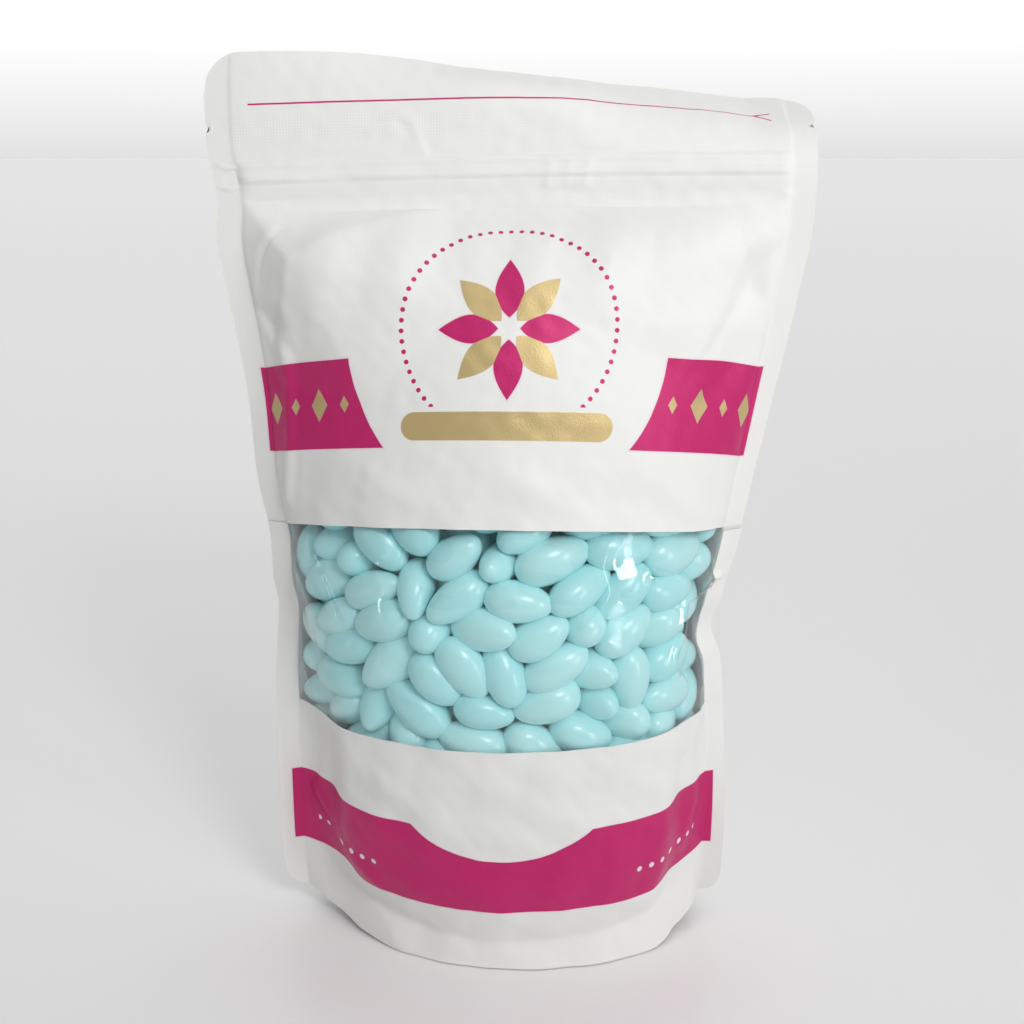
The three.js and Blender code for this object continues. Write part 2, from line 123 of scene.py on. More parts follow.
# How almonds are settled: each is a stick of two points with three balls along it. They start on a
# lattice, spread a little on each pass, and sink on most. Each pass undoes a part of the overlaps. Those
# near the front and the window are shown.
STICK = 11.2
BALL_SHARES = np.array([0.0, 0.5, 1.0])
BALL_RADII = np.array([6.1, 6.8, 5.7])
WALL_CLEARANCE = 0.8
LATTICE = (19.4, 11.4, 12.2)
REACH = 26.0
SPREAD = 0.04
SPREAD_REACH = 60.0
SINK = 0.2
SINKING_SHARE = 0.85
PUSHED_APART = 0.55
PUSHED_IN = 0.5
FLOOR_THICKNESS = 3.2
SHOWN_DEPTH = 25.0
SHOWN_PAST_WINDOW = 11.0

# Core behind the almonds that show, and how far it is inside the front and the back panel
CORE_HALF_WIDTH = 66.0
CORE_SPACING = 4.0
CORE_INSETS = (15.0, 9.0)

# The table of the panels' insides: its cell, half its width and its height
CELL = 1.0
TABLE_HALF = 100
TABLE_HEIGHT = 300

# Colours
PAPER = (0.83, 0.83, 0.81)
MAGENTA = (0.56, 0.012, 0.145)
HALO = (0.85, 0.66, 0.72)
GOLD = (0.60, 0.46, 0.22)
SUGAR_DEEP = (0.46, 0.88, 0.91)
SUGAR_PALE = (0.56, 0.93, 0.95)
# Painted shade: the dark colour of the core, for the shade deep in the heap and between the almonds
SUGAR_PAINTED_SHADE = (0.10, 0.33, 0.40, 1)
FLOOR = (0.9, 0.9, 0.9, 1)

# Print on the flat panel: bands between two levels, less a disc given by its centre and radius
MID_BAND = (181.4, 209.9)
FOOT_BAND = (21.8, 52.6)
MID_DISC = (0.0, 213.1, 50.1)
FOOT_DISC = (-0.7, 89.7, 48.2)
BAND_REACH = 89.0

# Emblem: its centre, petals, ring of beads, and the bar below it with its half length, level and radius
EMBLEM = (0.0, 217.5)
PETALS = 8
PETAL_REACH = 12.5
PETAL_LENGTH = 9.2
PETAL_WIDTH = 4.4
PETAL_TAPER = 0.25
BEADS = 64
BEAD_RING = 33.0
BEAD_RADIUS = 0.75
BEAD_GAP = 1.5
BAR = (33.0, 188.0, 4.4)

# Cut line with its fork, diamonds on the middle band and dots on the foot band
CUT_LEVEL = 295.5
CUT_MIDDLE = -1.7
CUT_HALF = 0.27
CUT_REACH = 79.7
FORK_START = 76.0
FORK_END = 81.5
FORK_HALF = 0.3
DIAMOND_PITCH = 10.0
DIAMOND_SHIFT = 2.0
DIAMOND_LEVEL = 195.6
DIAMOND_HALF = 5.2
DIAMOND_SLIMNESS = 0.62
DOT_PITCH = 5.0
DOT_LEVEL = 33.5
DOT_RADIUS = 1.0
DOT_START = 46.0
DOT_END = 78.0

# Knurled seal above the zip
KNURL_PITCH = 0.9
KNURL_LEVEL = 288.0

# Camera, in degrees, millimetres and pixels
CAMERA_YAW = -1.54
CAMERA_PITCH = 16.25
CAMERA_DISTANCE = 436.2
CAMERA_TARGET = 146.6
FOCAL_PIXELS = 2.96 * CAMERA_DISTANCE
IMAGE_SIDE = 1024
PRINCIPAL_POINT = (511.0, 524.9)
SENSOR = 36.0

# Light of the surroundings, and where the narrow lights point
WORLD_FRONT = 0.12
WORLD_RIGHT = 0.02
WORLD_BACK = 1.45
WORLD_TOP = 0.66
WORLD_SHADE = 0.5
LIT_PANEL = (0, 0, 0.26)
NARROW = 66


def smooth_step(start, end, value):
    """0 up to the start, 1 from the end on, and smooth between."""
    t = np.clip((value - start) / (end - start), 0, 1)
    return t * t * (3 - 2 * t)


def bump(centre, reach, value):
    """1 at the centre, fading smoothly to 0 at the reach."""
    t = np.clip(np.abs(value - centre) / reach, 0, 1)
    return (1 - t * t) ** 2


def profile(*pairs):
    """A smooth curve through (station, value) pairs, flat beyond its ends."""
    at, values = np.array(pairs, float).T
    before = np.maximum(np.arange(len(at)) - 1, 0)
    after = np.minimum(np.arange(len(at)) + 1, len(at) - 1)
    slopes = (values[after] - values[before]) / (at[after] - at[before])

    def curve(x):
        x = np.clip(np.asarray(x, float), at[0], at[-1])
        k = np.clip(np.searchsorted(at, x, side="right") - 1, 0, len(at) - 2)
        span = at[k + 1] - at[k]
        t = (x - at[k]) / span
        low = values[k] * (1 + 2 * t) + slopes[k] * span * t
        high = values[k + 1] * (3 - 2 * t) - slopes[k + 1] * span * (1 - t)
        return low * (1 - t) ** 2 + high * t**2

    return curve


# How far each panel bulges, how fast the bulge fades towards each seam, how the levels lie sideways and
# tilt, how far the side seals turn backwards in degrees, how the left seam waves, and how much the middle
# of each level is raised
bulge_at = profile((0, 40.5), (30, 38.7), (60, 38.5), (90, 39.8), (120, 42.4), (150, 38.6),
                   (180, 34.4), (210, 28.2), (240, 17), (BULGE_TOP, 0))
fade_left_at = profile((0, 0.96), (50, 0.73), (110, 0.7), (BULGE_TOP, 1))
fade_right_at = profile((0, 0.5), (50, 0.53), (110, 0.55), (BULGE_TOP, 1))
sideways_at = profile((0, -0.5), (60, -2), (110, -2.7), (160, -1.8), (210, 0), (ZIP_LEVEL, 0.5))
tilt_at = profile((0, 0), (83, 0.1), (157, -0.9), (211, 0.6), (ZIP_LEVEL, 1.8), (HEIGHT, 1.2))
turn_left_at = profile((0, -6), (60, -22), (130, 21), (255, 0))
turn_right_at = profile((0, -13), (60, 20), (130, 36), (255, 0))
left_wave_at = profile((120, 0), (130, -0.9), (142, 0.2), (152, 0.9), (165, -0.5), (175, -0.9), (200, 0),
                       (240, 0.2), (253, 0.5), (266, 1.6), (276, 0.3), (284, -1.2), (HEIGHT, -1.3))
crown_at = profile((0, 0), (54, -0.2), (90, 0.4), (157, 0.8), (BULGE_TOP, 0.9))
LEVELS = np.arange(0, BULGE_TOP + STEP / 2, STEP)


def solve_levels(fade_at):
    """How far across and how far out each level runs, at every half millimetre from its middle.

    The half chord is found so that the bulged half panel keeps its flat length.
    """
    bulge = np.maximum(bulge_at(LEVELS), 0.02)[:, None]
    power = 2 * fade_at(LEVELS)[:, None]
    angle = np.linspace(0, np.pi / 2, 161)
    outward = bulge * np.cos(angle).clip(0) ** power
    low = np.full_like(bulge, HALF_PANEL / 2)
    high = np.full_like(bulge, HALF_PANEL)
    for _ in range(30):
        chord = (low + high) / 2
        length = np.hypot(np.diff(chord * np.sin(angle)), np.diff(outward)).sum(1, keepdims=True)
        high = np.where(length > HALF_PANEL, chord, high)
        low = np.where(length > HALF_PANEL, low, chord)
    sidewise = low * np.sin(angle)
    arc = np.hypot(np.diff(sidewise, prepend=0), np.diff(outward, prepend=bulge)).cumsum(1)
    reach = np.arange(0, HALF_PANEL + STEP / 2, STEP)
    return {
        "across": np.array([np.interp(reach, *row) for row in zip(arc, sidewise)]),
        "out": np.array([np.interp(reach, *row) for row in zip(arc, outward)]),
    }


LEFT = solve_levels(fade_left_at)
RIGHT = solve_levels(fade_right_at)

# Height of the middle of a panel: its flat length is used up where it runs in or out
WHOLE = np.arange(0, BULGE_TOP + 1)
MIDDLES = np.sqrt(np.maximum(1 - np.diff(bulge_at(WHOLE)) ** 2, 0.04)).cumsum()
MIDDLES = np.insert(MIDDLES, 0, 0)
SEAM_CRUMPLE = BULGE_TOP - MIDDLES[-1]

# The side seams stand off the floor, and crumple at the waist, which takes up the same length
seam_drop_at = profile((0, -8.8), (50, -3.7), (90, -0.8), (120, 1.5), (150, 9.2), (211, 9.3),
                       (BULGE_TOP, SEAM_CRUMPLE))

# How many degrees the flap above the zip curls back along its width, and the levels between which it does
flap_curl_at = profile((-85, 0), (-72, 6.3), (-59, 18), (-46, 32), (-33, 47), (-20, 59), (3, 67),
                       (33, 62), (75, 63))
fold_start_at = profile((-40, 291), (3, 290.5), (33, 275.5), (75, 270))
fold_end_at = profile((-40, 310), (3, 305), (33, 304), (75, 296.5))


def flap_tables():
    """How far back and up the flap has come, at every millimetre across and half millimetre up."""
    u = np.arange(-HALF_WIDTH, HALF_WIDTH + 0.5)[:, None]
    v = np.arange(BULGE_TOP + STEP / 2, HEIGHT + 1, STEP)[None, :]
    rest = FLAP_REST * smooth_step(BULGE_TOP, BULGE_TOP + 12, v)
    lean = np.radians(rest + flap_curl_at(u) * smooth_step(fold_start_at(u), fold_end_at(u), v))
    return [np.pad(part(lean).cumsum(1) * STEP, ((0, 0), (1, 0))) for part in (np.sin, np.cos)]


FLAP_BACK, FLAP_UP = flap_tables()


def look_up(table, row, column):
    """A table read between its rows and columns."""
    row = np.clip(row, 0, table.shape[0] - 1.001)
    column = np.clip(column, 0, table.shape[1] - 1.001)
    i, j = row.astype(int), column.astype(int)
    a, b = row - i, column - j
    near = table[i, j] * (1 - b) + table[i, j + 1] * b
    far = table[i + 1, j] * (1 - b) + table[i + 1, j + 1] * b
    return near * (1 - a) + far * a


def of_hand(u, v, key):
    """A table of the left or the right half, read where each flat point is."""
    reach = np.minimum(np.abs(u), HALF_PANEL)
    row, column = np.minimum(v, BULGE_TOP) / STEP, reach / STEP
    return np.where(u < 0, look_up(LEFT[key], row, column), look_up(RIGHT[key], row, column))


def waist_dent(u, v):
    """The front is drawn in below each end of the zip."""
    below = BULGE_TOP - 2 - v
    hang = smooth_step(0, 14, below) * (1 - smooth_step(34, 78, below))
    middle = 78 - 0.16 * np.maximum(below, 0)
    return np.where(u < 0, *WAIST_DENTS) * hang * bump(middle, 15, np.abs(u))


def eased_by_seams(u, v):
    """How far across and out flat points are, where the foot leaves its side seals gently."""
    across, out = of_hand(u, v, "across"), of_hand(u, v, "out")
    hand = np.sign(u)
    seam, inner = hand * HALF_PANEL, hand * (HALF_PANEL - EASE_REACH)
    share = (HALF_PANEL - np.abs(u)).clip(0) / EASE_REACH
    held = np.where(u < 0, 1 - smooth_step(66, 104, v), 0.7 - 0.7 * smooth_step(60, 96, v))
    held = held * (1 - smooth_step(0.55, 1, share)) * (0.6 + 0.4 * smooth_step(0, 26, v))
    seam_across, inner_across = of_hand(seam, v, "across"), of_hand(inner, v, "across")
    across_eased = seam_across + (inner_across - seam_across) * share
    out_eased = of_hand(inner, v, "out") * share**1.6
    return across + (across_eased - across) * held, out + (out_eased - out) * held


def place(u, v, side):
    """Where a flat point of the front (side -1) or back (side 1) is, midway between the sealed sheets."""
    low = np.minimum(v, BULGE_TOP)
    reach = np.minimum(np.abs(u), HALF_PANEL)
    across, out = eased_by_seams(u, v)
    seal = np.abs(u) - reach
    turn = np.where(seal > 0, np.radians(np.where(u < 0, turn_left_at(v), turn_right_at(v))), 0)
    out = np.where(v < BULGE_TOP, out, 0)
    share = (out / np.maximum(bulge_at(low), 0.02)).clip(0, 1)
    wave = np.where(u < 0, left_wave_at(v) * smooth_step(60, HALF_PANEL, -u),
                    -KINK_DEPTH * bump(KINK_LEVEL, 13, v) * smooth_step(70, HALF_PANEL, u))
    x = sideways_at(v) + np.sign(u) * (across + seal * np.cos(turn)) + wave
    seam = low - seam_drop_at(low)
    middle = np.interp(low, WHOLE, MIDDLES) + crown_at(low)
    lift = 1 - (1 - share) ** (1 + 1.5 * (1 - smooth_step(0, 80, v)))
    flap_row, flap_column = u + HALF_WIDTH, (v - BULGE_TOP) / STEP
    crown = crown_at(BULGE_TOP) * (1 - (reach / HALF_PANEL) ** 2)
    above = seam + look_up(FLAP_UP, flap_row, flap_column) + crown
    z = np.where(v < BULGE_TOP, seam + (middle - seam) * lift, above)
    y = side * out + seal * np.sin(turn)
    y = y + np.where(v < BULGE_TOP, 0, look_up(FLAP_BACK, flap_row, flap_column))
    if side < 0:
        y = y + np.minimum(waist_dent(u, v), np.maximum(out - 1.5, 0))
    return np.stack([x, y, z + tilt_at(v) * u / HALF_WIDTH - REST_TRIM], -1)


# Relief of the panels, along their normals

def waves(u, v, length, seed, count=9):
    """Gentle waves of about one length in random directions."""
    rng = np.random.default_rng(seed)
    total = np.zeros_like(u)
    for _ in range(count):
        angle, phase = rng.uniform(0, 2 * np.pi, 2)
        pitch = 2 * np.pi / (length * rng.uniform(0.75, 1.3))
        total += np.cos(pitch * (u * np.cos(angle) + v * np.sin(angle)) + phase)
    return total / count**0.5


def plateau(value, half, soft):
    """1 within half of zero, fading to 0 over the soft distance."""
    return 1 - smooth_step(half - soft / 2, half + soft / 2, np.abs(value))


def fan(u, v, apex, rim):
    """A faceted pyramid: 1 at its apex, 0 along and outside its rim, which runs anticlockwise."""
    height = np.zeros_like(u)
    for (u1, v1), (u2, v2) in zip(rim, rim[1:] + rim[:1]):
        edge = (u2 - u1, v2 - v1)
        to_apex = edge[0] * (apex[1] - v1) - edge[1] * (apex[0] - u1)
        inside = (edge[0] * (v - v1) - edge[1] * (u - u1)) / to_apex
        first = (u1 - apex[0]) * (v - apex[1]) - (v1 - apex[1]) * (u - apex[0])
        second = (u - apex[0]) * (v2 - apex[1]) - (v - apex[1]) * (u2 - apex[0])
        here = (first >= 0) & (second >= 0) & (inside > 0)
        height = np.where(here, np.maximum(height, inside), height)
    return height


def crease(u, v, path, reach):
    """1 along a path of flat points, fading to 0 at the reach."""
    nearest = np.full_like(u, 1e6)
    for (u1, v1), (u2, v2) in zip(path, path[1:]):
        edge_u, edge_v = u2 - u1, v2 - v1
        t = ((u - u1) * edge_u + (v - v1) * edge_v) / (edge_u**2 + edge_v**2)
        t = t.clip(0, 1)
        nearest = np.minimum(nearest, np.hypot(u - u1 - t * edge_u, v - v1 - t * edge_v))
    return bump(0, reach, nearest)


def folds(u, v, *lines):
    """Several creases, each given by its height, its reach and its path."""
    return sum(height * crease(u, v, path, reach) for height, reach, path in lines)


def soften(height, passes):
    """Blurs a grid of heights a little."""
    for _ in range(passes):
        padded = np.pad(height, 1, mode="edge")
        across = (padded[1:-1, :-2] + 2 * height + padded[1:-1, 2:]) / 4
        padded = np.pad(across, 1, mode="edge")
        height = (padded[:-2, 1:-1] + 2 * across + padded[2:, 1:-1]) / 4
    return height


# Height of the zip's strip and ridge over the panel, from below to above its level
zip_height_at = profile((-6.5, 0), (-2.6, 0.7), (-1.6, 0.75), (-0.9, 1.4), (0.5, 1.5), (1.3, 0.9),
                        (2.4, 0.7), (3.4, 0.85), (4.5, 0.8), (5.3, 0))


def zip_relief(u, v):
    """The raised strip with the closed profile under it."""
    uneven = 1 + 0.2 * waves(u, v * 0.2, 26, 61)
    return zip_height_at(v - ZIP_LEVEL) * uneven * plateau(u, ZIP_END, 3)


def zip_creases(u, v):
    """Short folds across the zip, crimps at its ends, and a wrinkle above it."""
    across = [(0.6, 1.0, [(at, 269), (at + 0.8, 276)]) for at in (11, 17, 23)]
    left_crimps = [
        (0.7, 0.9, [(-92.5, 278), (-90.5, 276.4), (-87.5, 277)]),
        (-0.6, 0.9, [(-88.8, 276), (-88.2, 271.5)]),
        (0.7, 0.9, [(-93, 271), (-90.5, 270.3), (-88, 271.5)]),
    ]
    right_crimp = (0.7, 1.2, [(84.5, 266.5), (87.5, 265.5)])
    wrinkle = (0.45, 1.4, [(-44.5, 285.5), (-35, 291), (-32, 289.5), (-27.5, 279)])
    return folds(u, v, *across, *left_crimps, right_crimp, wrinkle)


def front_dents(u, v):
    """Folds that the filling pulls into the panel below the ends of the zip."""
    left_rim = [(-87, 267), (-87, 231), (-80, 203), (-45, 195), (-15, 222), (-19, 263)]
    right_rim = [(87, 266), (20, 262), (10, 225), (58, 205), (79, 239), (87, 253)]
    right_low_rim = [(87, 231), (66, 236), (40, 220), (60, 195), (78, 212), (87, 221)]
    left = 8.0 * fan(u, v, (-67.5, 243), left_rim)
    left_low = -2.6 * fan(u, v, (-80, 224), [(-87, 232), (-80, 215), (-70.5, 221), (-74, 231)])
    right = 5.0 * fan(u, v, (73, 247), right_rim)
    right_low = 2.4 * fan(u, v, (72, 221), right_low_rim)
    fold = (1.0, 4, [(-75, 213), (-76, 200), (-77, 181), (-80, 165)])
    mark = (0.4, 1.1, [(29.5, 240.5), (31, 238.5), (30, 237), (28.5, 233.5)])
    return left + left_low + right + right_low + folds(u, v, fold, mark)


def foot_folds(u, v):
    """Soft folds at the lower corners, where the side seals hold the filled panel back."""
    left = (0.8, 5, [(-72, 76), (-71, 64), (-75, 46)])
    low_left = (0.9, 5, [(-78, 46), (-62, 32), (-48, 25)])
    right = (1.0, 7, [(77, 78), (74, 60), (78, 46), (70, 32)])
    return folds(u, v, left, low_left, right) * off_seals(u)


def off_seals(u):
    """1 on the panel, fading to 0 at the side seals."""
    return 1 - smooth_step(HALF_PANEL - 7, HALF_PANEL - 1, np.abs(u))


def below_zip(u, v):
    """1 on the panel, fading to 0 at the seams and under the zip."""
    return plateau(u, 80, 12) * (1 - smooth_step(BULGE_TOP, BULGE_TOP + 6, v))


def pressed_out(u, v, height=0.32, length=17, seed=21):
    """Gentle bumps of the almonds behind a panel, up to a little above the filling."""
    filled = 1 - smooth_step(FILL_LEVEL - 3, FILL_LEVEL + 22, v)
    return height * waves(u, v, length, seed) * plateau(u, 74, 20) * filled


def front_relief(u, v):
    """All the relief of the front panel above and below the window."""
    pleats = 0.6 * waves(u, v * 0.35, 24, 5) * bump(240, 26, v) * plateau(u, 70, 30)
    swell = 0.25 * waves(u, v, 34, 11) * below_zip(u, v) + pressed_out(u, v)
    flap = 0.2 * waves(u, v, 32, 31) * smooth_step(282, 292, v)
    crumples = 0.08 * waves(u, v, 7.5, 51, 14) * plateau(u, 82, 8)
    seal_edge = -0.4 * smooth_step(HALF_PANEL - 0.4, HALF_PANEL + 0.4, np.abs(u))
    shaped = front_dents(u, v) + foot_folds(u, v) + zip_relief(u, v) + zip_creases(u, v) + foot_seal(u, v)
    return shaped + pleats + swell + flap + crumples + seal_edge


def seal_arc(u):
    """How high the curved seal of the gusset runs on the panels."""
    return SEAL_MIDDLE + SEAL_CURVE * u**2


def foot_seal(u, v):
    """The panel turns in towards the gusset's curved seal, and the skirt below it flares out again."""
    above = v - seal_arc(u)
    turned_in = (1 - above / 32).clip(0, 1) ** 2
    flare = 0.7 * (-above / seal_arc(u)).clip(0, 1)
    return -SKIRT_CREASE * np.where(above > 0, turned_in, 1 - flare) * plateau(u, 70, 28)


def back_relief(u, v):
    """The relief of the back panel: gentle waves, the zip and the foot's seal."""
    swell = 0.3 * waves(u, v, 38, 41) * below_zip(u, v)
    return swell + pressed_out(u, v, 0.3, 20, 43) + zip_relief(u, v) + foot_seal(u, v)


def film_relief(u, v):
    """The film has a dent on the left, folds, and a billow right of the middle."""
    pressed = pressed_out(u, v) + foot_folds(u, v)
    lens_rim = [(-84, 144), (-78, 112), (-66, 104), (-55, 110), (-54, 120), (-70, 152)]
    lens = 3.2 * fan(u, v, (-66, 122), lens_rim)
    billow = 2.2 * bump(122, 34, v) * bump(33, 28, u)
    streak = (1.7, 3, [(36.5, 157), (33, 151), (31.5, 145), (34, 137), (30, 130), (26, 124)])
    crinkles = [
        (1.9, 2.6, [(50, 140), (60, 138.5), (69, 131), (76, 133), (90, 136)]),
        (1.5, 2.2, [(66, 129), (64, 114), (60.5, 108), (62.5, 102)]),
    ]
    fine_lines = [
        (0.35, 1.4, [(27.5, 122), (39.5, 116.5), (51.5, 111)]),
        (0.35, 1.2, [(-7, 143), (-7.5, 136)]),
        (0.5, 2.0, [(-77, 150), (-82, 126), (-80, 102), (-72, 84)]),
        (0.7, 1.8, [(-71, 150), (-60, 128), (-53, 116), (-61, 104), (-69, 110)]),
        (0.5, 2.0, [(73, 153), (82, 140), (78, 122), (80, 92)]),
    ]
    return pressed + lens + billow + folds(u, v, streak, *crinkles, *fine_lines)


# Outline of the panels

def round_corner(u, v):
    """Rows near the top and the bottom are drawn in towards the arcs of the round corners."""
    low_rows, high_rows = 24, 280
    in_low = np.maximum(np.abs(u) - (HALF_WIDTH - BOTTOM_CORNER), 0)
    in_high = np.maximum(np.abs(u) - (HALF_WIDTH - TOP_CORNER), 0)
    low = BOTTOM_CORNER - np.sqrt(BOTTOM_CORNER**2 - in_low**2)
    high = HEIGHT - TOP_CORNER + np.sqrt(TOP_CORNER**2 - in_high**2)
    v = np.where(v < low_rows, low + v * (low_rows - low) / low_rows, v)
    raised = high_rows + (v - high_rows) * (high - high_rows) / (HEIGHT - high_rows)
    return np.where(v > high_rows, raised, v)


def tear_notch(u, v):
    """The side edges are drawn in at the notches."""
    cut = NOTCH_DEPTH * np.maximum(1 - np.abs(v - NOTCH_LEVEL) / (NOTCH_HEIGHT / 2), 0)
    share = ((np.abs(u) - HALF_PANEL) / SIDE_SEAL).clip(0, 1)
    return u - np.sign(u) * cut * share


def window_high(u):
    """The window's upper edge rises a little near its right end."""
    return WINDOW_HIGH + WINDOW_RISE * smooth_step(64, 84, u)


def spaced(start, end, spacing, extra=()):
    """Even stations from start to end, with some extra ones in place of those that they are close to."""
    even = np.linspace(start, end, round((end - start) / spacing) + 1)
    extra = np.array(extra, float)
    if len(extra):
        apart = np.abs(even[:, None] - extra).min(1)
        even = even[(apart > 0.25 * spacing) | (even == start) | (even == end)]
    return np.unique(np.concatenate([even, extra]))


def flat_grid(low, high, spacing, span=(-HALF_WIDTH, HALF_WIDTH)):
    """A grid of flat points between two levels, the upper or lower of which may be a function of u.

    It is finer across the zip, at the notches and along the edges of the side seals.
    """
    base, top = (float(edge(0.0)) if callable(edge) else edge for edge in (low, high))
    across_zip = spaced(ZIP_LEVEL - 7, ZIP_LEVEL + 7, spacing * 0.35)
    notches = NOTCH_LEVEL + np.array([-1, 0, 1]) * NOTCH_HEIGHT / 2
    extra = np.concatenate([across_zip, notches])
    shares = (spaced(base, top, spacing, extra[extra < top]) - base) / (top - base)
    seam = HALF_PANEL + np.array([-0.5, 0, 0.5])
    seams = np.concatenate([-seam, seam])
    columns = spaced(*span, spacing, seams[(seams > span[0]) & (seams < span[1])])
    u, share = np.meshgrid(columns, shares)
    lower, upper = (edge(u) if callable(edge) else edge for edge in (low, high))
    v = round_corner(u, lower + (upper - lower) * share)
    return tear_notch(u, v), v


# Meshes

def outward(points, side):
    """Unit normals of a grid of points, pointing away from the contents."""
    normal = np.cross(np.gradient(points, axis=1), np.gradient(points, axis=0))
    normal /= np.linalg.norm(normal, axis=-1, keepdims=True)
    return -side * normal


def faces_of(*corners):
    """Faces, from one grid for each of their corners."""
    return np.stack([corner.ravel() for corner in corners], -1)


def two_layers(rows, columns):
    """Faces of a closed sheet of two grids, with the second one behind the first."""
    count = rows * columns
    index = np.arange(count).reshape(rows, columns)
    front = faces_of(index[:-1, :-1], index[:-1, 1:], index[1:, 1:], index[1:, :-1])
    rim = np.concatenate([index[0, :-1], index[:-1, -1], index[-1, :0:-1], index[:0:-1, 0]])
    after = np.roll(rim, -1)
    edge = faces_of(rim, rim + count, after + count, after)
    return np.concatenate([front, front[:, ::-1] + count, edge])


def make_object(name, points, faces, material, uv=None, sharp=40):
    """A piece on the only body, from points in millimetres. Edges over the sharp angle are kept crisp."""
    mesh = bpy.data.meshes.new(name)
    mesh.from_pydata(((points + SHIFT) * MM).tolist(), [], faces)
    mesh.shade_smooth()
    if sharp:
        mesh.set_sharp_from_angle(angle=math.radians(sharp))
    if uv is not None:
        corner = np.empty(len(mesh.loops), int)
        mesh.loops.foreach_get("vertex_index", corner)
        mesh.uv_layers.new(name="flat").data.foreach_set("uv", uv[corner].ravel())
    mesh.materials.append(material)
    piece = bpy.data.objects.new(name, mesh)
    bpy.context.collection.objects.link(piece)
    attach(piece, "root")
    return piece


def panel_sheet(name, grid, side, relief, material, outer=HALF_SHEET, thickness=HALF_SHEET - SEAM_GAP):
    """A closed sheet over a grid of flat points, its outer face lifted by the relief."""
    u, v = grid
    middle = place(u, v, side)
    normal = outward(middle, side)
    lifted = soften(relief(u, v), 1)[..., None]
    outside = middle + normal * (outer + lifted)
    inside = middle + normal * (outer - thickness + lifted)
    points = np.concatenate([outside.reshape(-1, 3), inside.reshape(-1, 3)])
    points[:, 2] = points[:, 2].clip(0)
    faces = two_layers(*u.shape)
    if side > 0:
        faces = faces[:, ::-1]
    flat = np.stack([(u + HALF_WIDTH) / HEIGHT, v / HEIGHT], -1).reshape(-1, 2)
    return make_object(name, points, faces.tolist(), material, np.concatenate([flat, flat]))


def centring_shift():
    """Moves the pouch so that its box has the middle of the frame's box."""
    low, high = np.full(3, 1e6), np.full(3, -1e6)
    for side in (-1, 1):
        middle = place(*flat_grid(0.0, HEIGHT, 3.0), side)
        points = (middle + outward(middle, side) * HALF_SHEET).reshape(-1, 3)
        low, high = np.minimum(low, points.min(0)), np.maximum(high, points.max(0))
    shift = np.array((cad_low + cad_high) / 2) / MM - (low + high) / 2
    shift[2] = 0
    return shift


SHIFT = centring_shift()


def gusset(material):
    """The bottom, folded up inside the skirt and pushed down again by the filling."""
    columns, steps = np.meshgrid(np.linspace(-HALF_PANEL + 2, HALF_PANEL - 2, 61), (0, 1))
    levels = seal_arc(columns) * GUSSET_SHARE + steps
    rim = []
    for side in (-1, 1):
        sheet = place(columns, levels, side)
        sheet += outward(sheet, side) * (foot_seal(columns, levels) - 2 * HALF_SHEET)[..., None]
        rim.append(sheet[0][:: -side][:-1])
    rim = np.concatenate(rim)
    centre = rim.mean(0)
    # each ring's size as a share of the rim's, and how much of the rim's height it keeps
    shares = np.array([1, 0.985, 0.965, 0.94, 0.91, 0.87, 0.83, 0.8, 0.7, 0.5, 0.3, 0.12])
    falls = np.array([1, 0.78, 0.58, 0.4, 0.26, 0.14, 0.05, 0, 0, 0, 0, 0])
    lowest = 0.15
    layers = []
    for lift in (0.0, GUSSET_SHEET):
        grid = centre + (rim - centre) * shares[:, None, None]
        grid[..., 2] = lowest + (rim[:, 2] - lowest) * falls[:, None] + lift
        layers.append(grid.reshape(-1, 3))
    total = len(shares) * len(rim)
    index = np.arange(total).reshape(len(shares), len(rim))
    after = np.roll(index, -1, axis=1)
    under = faces_of(index[:-1], after[:-1], after[1:], index[1:])
    outer_rim = faces_of(index[0], index[0] + total, after[0] + total, after[0])
    inner_rim = faces_of(index[-1], after[-1], after[-1] + total, index[-1] + total)
    faces = np.concatenate([under, under[:, ::-1] + total, outer_rim, inner_rim]).tolist()
    faces += [index[-1].tolist(), (index[-1][::-1] + total).tolist()]
    return make_object("gusset", np.concatenate(layers), faces, material)


# Sugared almonds: overlaps are pushed apart, and the panels hold them in

def wall_table(side):
    """How far out the inside of a panel is over each millimetre across and up, and its two slopes."""
    u, v = np.meshgrid(np.arange(-HALF_PANEL, HALF_PANEL + 0.2, 0.4), np.arange(1, BULGE_TOP - 1, 0.4))
    points = place(u, v, side).reshape(-1, 3)
    table = np.full((2 * TABLE_HALF, TABLE_HEIGHT), 1e3)
    cells = (points[:, [0, 2]] / CELL + (TABLE_HALF, 0)).astype(int).clip(0)
    np.minimum.at(table, (cells[:, 0], cells[:, 1]), side * points[:, 1])
    table[table > 999] = 0
    table = soften(table, 3)
    slope_across, slope_up = np.gradient(table)
    return {"out": table, "slope_across": slope_across, "slope_up": slope_up}


def wall(points, key="out"):
    """The nearer panel's inside, or one of its slopes, where points are."""
    row, column = points[..., 0] / CELL + TABLE_HALF, points[..., 2] / CELL
    front, back = (look_up(WALLS[side][key], row, column) for side in (-1, 1))
    return np.where(points[..., 1] < 0, front, back)


def keep_inside(balls, radii):
    """How far balls have to move to be clear of the panels and the bottom."""
    towards = np.where(balls[..., 1] < 0, -1.0, 1.0)
    normal = np.stack([-wall(balls, "slope_across"), towards, -wall(balls, "slope_up")], -1)
    size = np.linalg.norm(normal, axis=-1)
    excess = (np.abs(balls[..., 1]) - wall(balls)) / size + radii + WALL_CLEARANCE
    move = normal * (-np.maximum(excess, 0) / size)[..., None]
    lowest = radii + FLOOR_THICKNESS
    move[..., 2] += np.maximum(lowest - balls[..., 2], 0)
    return move


WALLS = {side: wall_table(side) for side in (-1, 1)}


